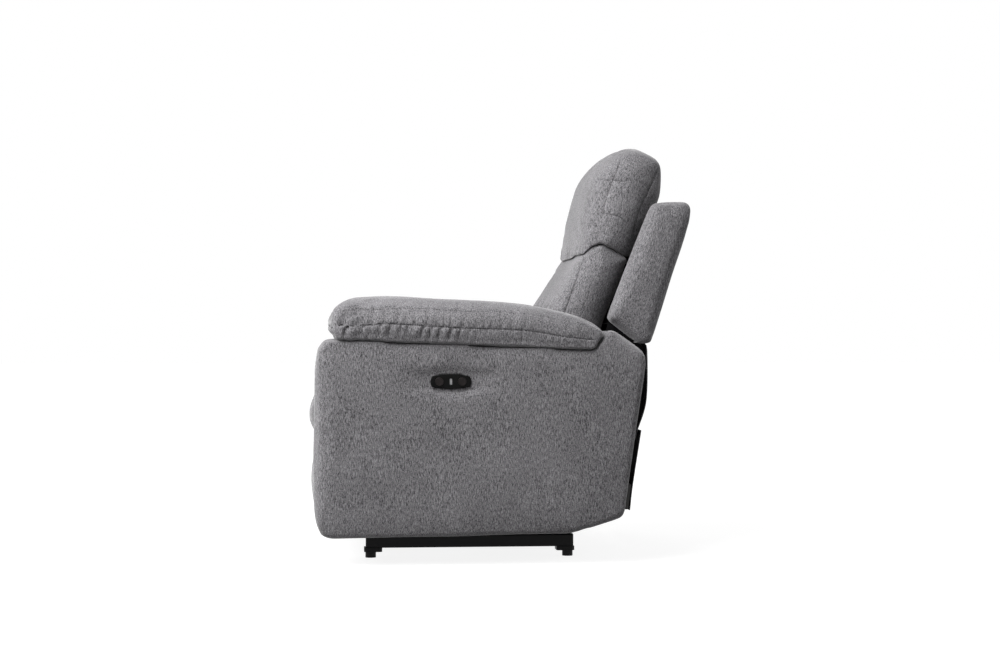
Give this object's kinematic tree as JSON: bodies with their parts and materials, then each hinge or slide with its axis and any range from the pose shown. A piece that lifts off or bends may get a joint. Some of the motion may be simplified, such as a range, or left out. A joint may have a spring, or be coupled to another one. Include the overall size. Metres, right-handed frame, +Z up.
{
  "type": "power recliner armchair",
  "caption": "Upholstered power recliner armchair with padded arms, a scissor footrest, a reclining back and a seat that glides forward.",
  "frame": {"origin": "floor level, midway between the front and the back and between the outer faces of the arms", "axes": "+Z up, -Y towards the front (the sitter's feet), +X towards the sitter's left arm, which carries the switch plate"},
  "size_m": [0.964, 0.9404, 1.0224],
  "materials": {
    "upholstery": "matte",
    "lining": "matte",
    "webbing": "matte",
    "wood": "matte",
    "black_plastic": "satin",
    "button_plastic": "satin",
    "zinc_steel": "satin",
    "aluminium": "satin",
    "black_steel": "satin"
  },
  "bodies": {
    "base": {"base_rails": "black_steel", "rail_end_caps": "black_plastic", "base_cross_tubes": "black_steel", "foot_brackets": "black_steel", "base_plate_left": "black_steel", "base_plate_right": "black_steel", "arm_panel_left": "upholstery", "arm_panel_right": "upholstery", "arm_pad_left": "upholstery", "arm_pad_right": "upholstery", "switch_plate": "black_plastic", "usb_port": "black_plastic", "rear_rail": "wood", "rear_flap": "lining", "power_inlet": "black_plastic"},
    "foot_front_left": {"foot_front_left": "black_plastic"},
    "foot_front_right": {"foot_front_right": "black_plastic"},
    "foot_rear_left": {"foot_rear_left": "black_plastic"},
    "foot_rear_right": {"foot_rear_right": "black_plastic"},
    "button_open": {"button_open": "button_plastic"},
    "button_close": {"button_close": "button_plastic"},
    "front_swing": {"front_swing_links": "black_steel"},
    "rear_swing": {"rear_swing_links": "black_steel"},
    "seat": {"seat_side_plate_left": "black_steel", "seat_side_plate_right": "black_steel", "seat_cross_rails": "wood", "seat_side_rails": "wood", "seat_springs": "zinc_steel", "seat_cushion": "upholstery", "motor_cross_tube": "black_steel", "actuator_rail": "aluminium", "rail_hanger": "black_steel", "gear_case": "black_plastic", "motor_housing": "black_plastic"},
    "drive_block": {"drive_block": "black_plastic"},
    "main_link": {"drive_tube": "black_steel", "main_links": "black_steel"},
    "rear_link": {"rear_links": "black_steel"},
    "long_link": {"long_links": "black_steel"},
    "front_link": {"front_links": "black_steel"},
    "footrest": {"footrest_brackets": "black_steel", "footrest_board": "wood", "footrest_cushion": "upholstery"},
    "back": {"back_brackets": "black_steel", "back_stiles": "wood", "back_cross_rails": "wood", "back_webbing": "webbing", "back_panel": "upholstery", "back_wing_left": "upholstery", "back_wing_right": "upholstery", "back_skirt": "lining", "back_lining_left": "lining", "back_lining_right": "lining", "lumbar_cushion": "upholstery", "headrest_cushion": "upholstery"}
  },
  "joints": [
    {"name": "back_recline", "type": "hinge", "parent": "seat", "child": "back", "pos_m": [0, 0.22, 0.34], "axis": [-1, 0, 0], "range_deg": [0, 34]},
    {"name": "front_swing_turn", "type": "hinge", "parent": "base", "child": "front_swing", "pos_m": [0, -0.17, 0.088], "axis": [1, 0, 0], "range_deg": [0, 22.4]},
    {"name": "seat_level", "type": "hinge", "parent": "front_swing", "child": "seat", "pos_m": [0, -0.14086, 0.23514], "axis": [1, 0, 0], "range_deg": [-22.4, 0]},
    {"name": "rear_swing_turn", "type": "hinge", "parent": "base", "child": "rear_swing", "pos_m": [0, 0.12, 0.088], "axis": [1, 0, 0], "range_deg": [0, 22.4]},
    {"name": "footrest_open", "type": "hinge", "parent": "seat", "child": "main_link", "pos_m": [0, -0.297, 0.325], "axis": [-1, 0, 0], "range_deg": [0, 98]},
    {"name": "rear_link_turn", "type": "hinge", "parent": "seat", "child": "rear_link", "pos_m": [0, -0.24402, 0.29683], "axis": [-1, 0, 0], "range_deg": [0, 98]},
    {"name": "long_link_turn", "type": "hinge", "parent": "main_link", "child": "long_link", "pos_m": [0, -0.182, 0.12581], "axis": [-1, 0, 0], "range_deg": [-98, 0]},
    {"name": "front_link_turn", "type": "hinge", "parent": "main_link", "child": "front_link", "pos_m": [0, -0.1595, 0.08684], "axis": [-1, 0, 0], "range_deg": [-98, 0]},
    {"name": "footrest_turn", "type": "hinge", "parent": "long_link", "child": "footrest", "pos_m": [0, -0.38508, 0.23379], "axis": [-1, 0, 0], "range_deg": [0, 98]},
    {"name": "drive_slide", "type": "slide", "parent": "seat", "child": "drive_block", "axis": [0, -1, 0], "range_m": [0, 0.09663]},
    {"name": "open_press", "type": "slide", "parent": "base", "child": "button_open", "axis": [-1, 0, 0], "range_m": [0, 0.0015], "stiffness_N_per_m": 400},
    {"name": "close_press", "type": "slide", "parent": "base", "child": "button_close", "axis": [-1, 0, 0], "range_m": [0, 0.0015], "stiffness_N_per_m": 400},
    {"name": "foot_front_left_level", "type": "slide", "parent": "base", "child": "foot_front_left", "axis": [0, 0, -1], "range_m": [0, 0.01]},
    {"name": "foot_front_right_level", "type": "slide", "parent": "base", "child": "foot_front_right", "axis": [0, 0, -1], "range_m": [0, 0.01]},
    {"name": "foot_rear_left_level", "type": "slide", "parent": "base", "child": "foot_rear_left", "axis": [0, 0, -1], "range_m": [0, 0.01]},
    {"name": "foot_rear_right_level", "type": "slide", "parent": "base", "child": "foot_rear_right", "axis": [0, 0, -1], "range_m": [0, 0.01]}
  ],
  "couplings": [
    {"joint": "front_swing_turn", "follows": "back_recline", "ratio": 0.65882},
    {"joint": "seat_level", "follows": "back_recline", "ratio": -0.65882},
    {"joint": "rear_swing_turn", "follows": "back_recline", "ratio": 0.65882},
    {"joint": "rear_link_turn", "follows": "footrest_open", "ratio": 1},
    {"joint": "long_link_turn", "follows": "footrest_open", "ratio": -1},
    {"joint": "front_link_turn", "follows": "footrest_open", "ratio": -1},
    {"joint": "footrest_turn", "follows": "footrest_open", "ratio": 1},
    {"joint": "drive_slide", "follows": "footrest_open", "m_per_rad": 0.056495}
  ]
}
